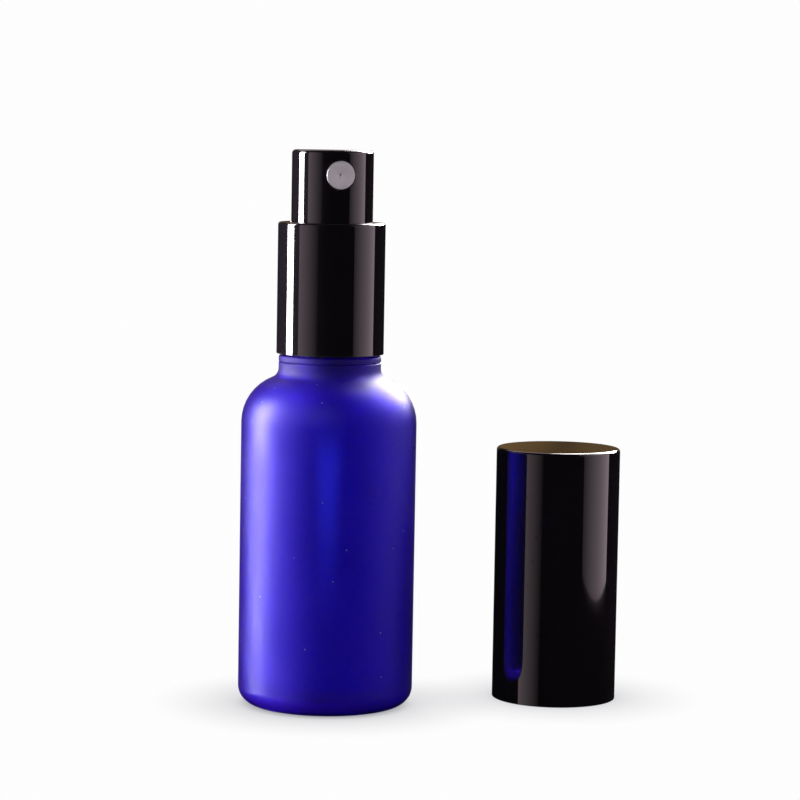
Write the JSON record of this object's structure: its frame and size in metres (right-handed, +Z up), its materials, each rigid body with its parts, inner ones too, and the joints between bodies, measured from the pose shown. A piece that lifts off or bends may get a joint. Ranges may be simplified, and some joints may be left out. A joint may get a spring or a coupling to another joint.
{
  "type": "perfume atomiser",
  "caption": "Frosted cobalt glass bottle with a screw-on fine-mist pump in a gloss black collar and button, and a round black overcap standing beside it.",
  "frame": {"origin": "middle of the bottle's base, on the surface it stands on", "axes": "+Z up along the bottle and the pump, +X towards the overcap that stands beside it, -Y the front"},
  "size_m": [0.0735, 0.033, 0.1046],
  "materials": {
    "cobalt_glass": "acid-frosted outside, glossy inside, translucent cobalt blue",
    "black_metal": "gloss black lacquer on drawn aluminium",
    "black_plastic": "moulded polypropylene, satin",
    "white_plastic": "moulded acetal, satin",
    "natural_plastic": "natural polypropylene, slightly translucent",
    "clear_tube": "extruded polyethylene, milky",
    "insert_plastic": "natural acetal, fine matt",
    "gasket_foam": "closed-cell polyethylene foam",
    "seal_rubber": "nitrile rubber, matt",
    "spring_steel": "stainless steel, bright drawn"
  },
  "bodies": {
    "bottle": {"glass_bottle": "cobalt_glass"},
    "pump": {"neck_gasket": "gasket_foam", "pump_housing": "natural_plastic", "dip_tube": "clear_tube", "ball_cage": "natural_plastic", "return_spring": "spring_steel", "turret": "white_plastic", "stem_gasket": "seal_rubber"},
    "collar": {"screw_closure": "black_plastic", "collar_shell": "black_metal"},
    "stem": {"upper_stem": "white_plastic", "lower_stem": "white_plastic", "piston_spring": "spring_steel"},
    "piston": {"piston": "natural_plastic"},
    "inlet_ball": {"inlet_ball": "spring_steel"},
    "actuator": {"actuator_core": "black_plastic", "actuator_shell": "black_metal", "nozzle_insert": "insert_plastic"},
    "cap": {"cap_liner": "black_plastic", "cap_shell": "black_metal"}
  },
  "joints": [
    {"name": "pump_lift", "type": "slide", "parent": "bottle", "child": "pump", "axis": [0, 0, 1], "range_m": [0, 0.006]},
    {"name": "collar_turn", "type": "hinge", "parent": "pump", "child": "collar", "pos_m": [0, 0, 0.0805], "axis": [0, 0, 1], "range_deg": [0, 720]},
    {"name": "button_press", "type": "slide", "parent": "pump", "child": "stem", "axis": [0, 0, -1], "range_m": [0, 0.0045], "stiffness_N_per_m": 1200, "deforming": ["return_spring"]},
    {"name": "piston_slip", "type": "slide", "parent": "stem", "child": "piston", "axis": [0, 0, 1], "range_m": [0, 0.0006], "stiffness_N_per_m": 200, "deforming": ["piston_spring"]},
    {"name": "ball_lift", "type": "slide", "parent": "pump", "child": "inlet_ball", "axis": [0, 0, 1], "range_m": [0, 0.0008]},
    {"name": "actuator_turn", "type": "hinge", "parent": "stem", "child": "actuator", "pos_m": [0, 0, 0.092], "axis": [0, 0, 1], "continuous": true},
    {"name": "cap_lift", "type": "slide", "parent": "bottle", "child": "cap", "axis": [0, 0, 1], "range_m": [0, 0.06]}
  ],
  "couplings": [
    {"joint": "collar_turn", "follows": "pump_lift", "rad_per_m": 2094.4}
  ]
}
